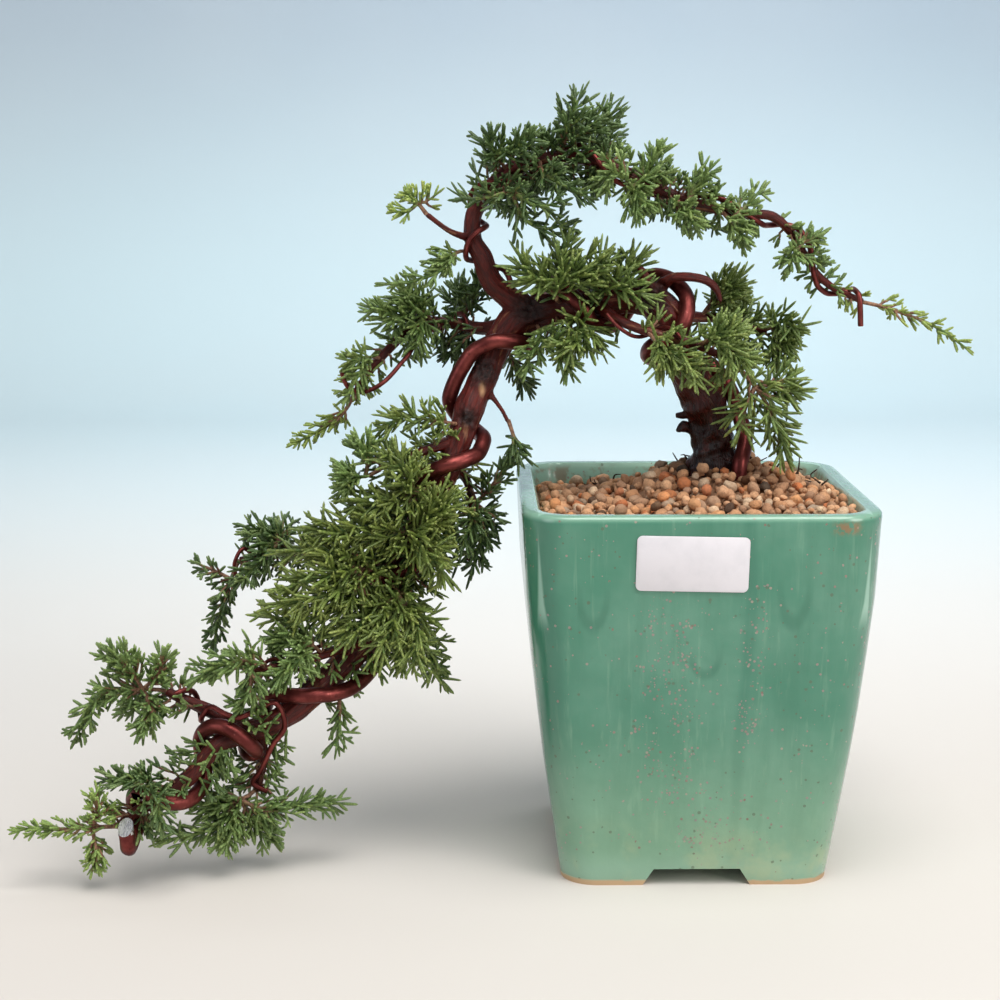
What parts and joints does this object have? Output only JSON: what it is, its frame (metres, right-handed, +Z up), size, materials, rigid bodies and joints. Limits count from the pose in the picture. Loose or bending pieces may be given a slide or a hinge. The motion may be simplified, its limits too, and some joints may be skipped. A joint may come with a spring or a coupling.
{
  "type": "potted bonsai tree",
  "caption": "Semi-cascade juniper bonsai with a wired, arching trunk and needled sprays, standing in a tall square glazed pot filled with granular soil.",
  "frame": {"origin": "centre of the object's bounding box, on the plane the pot's feet stand on", "axes": "+Z up, -Y towards the labelled front of the pot, -X towards the hanging side of the tree"},
  "size_m": [0.332, 0.1246, 0.2711],
  "materials": {
    "glaze": "gloss green glaze over stoneware",
    "label": "satin white film",
    "screen": "matt",
    "soil": "rough fired-clay granules",
    "bark": "rough reddish bark",
    "wire": "copper-brown anodised",
    "needles_dark": "satin",
    "needles_green": "satin",
    "needles_light": "satin"
  },
  "bodies": {
    "root": {"pot": "glaze", "label": "label", "drain_screen": "screen", "soil": "soil", "trunk": "bark", "trunk_wire": "wire", "apex_wire": "wire", "left_wire": "wire", "front_wire": "wire", "pad_wire": "wire", "mid_wire": "wire", "low_wire": "wire", "foliage_crown_left": "needles_dark", "foliage_crown_front": "needles_dark", "foliage_crown_back": "needles_dark", "foliage_crown_middle": "needles_dark", "foliage_crown_top": "needles_dark", "foliage_crown_top_back": "needles_dark", "foliage_arch_front": "needles_green", "foliage_arch_back": "needles_dark", "foliage_arch_middle": "needles_green", "foliage_arch_end": "needles_green", "foliage_tip_bend": "needles_green", "foliage_tip_long": "needles_light", "foliage_light_tuft": "needles_light", "foliage_side_tuft": "needles_green", "foliage_left_inner": "needles_dark", "foliage_left_middle": "needles_green", "foliage_left_bend": "needles_green", "foliage_left_tip": "needles_light", "foliage_fan_top": "needles_green", "foliage_fan_right": "needles_green", "foliage_fan_low": "needles_green", "foliage_arch_rear": "needles_dark", "foliage_hang_light": "needles_green", "foliage_hang_dark": "needles_dark", "foliage_right_front": "needles_green", "foliage_right_upper": "needles_green", "foliage_right_mass": "needles_green", "foliage_right_far": "needles_green", "foliage_right_hang": "needles_green", "foliage_upper_left_top": "needles_green", "foliage_upper_left_end": "needles_green", "foliage_upper_left_low": "needles_green", "foliage_bare_twig_tuft": "needles_dark", "foliage_right_side": "needles_dark", "foliage_heart_front": "needles_green", "foliage_heart_left": "needles_green", "foliage_heart_back": "needles_dark", "foliage_heart_low": "needles_green", "foliage_far_left_top": "needles_dark", "foliage_far_left_droop": "needles_dark", "foliage_lower_left_top": "needles_green", "foliage_lower_left_end": "needles_green", "foliage_lower_right": "needles_green", "foliage_under_twig": "needles_green", "foliage_pad_left": "needles_green", "foliage_end_top": "needles_dark", "foliage_end_tip": "needles_light", "foliage_bottom_pad": "needles_green"}
  },
  "joints": []
}
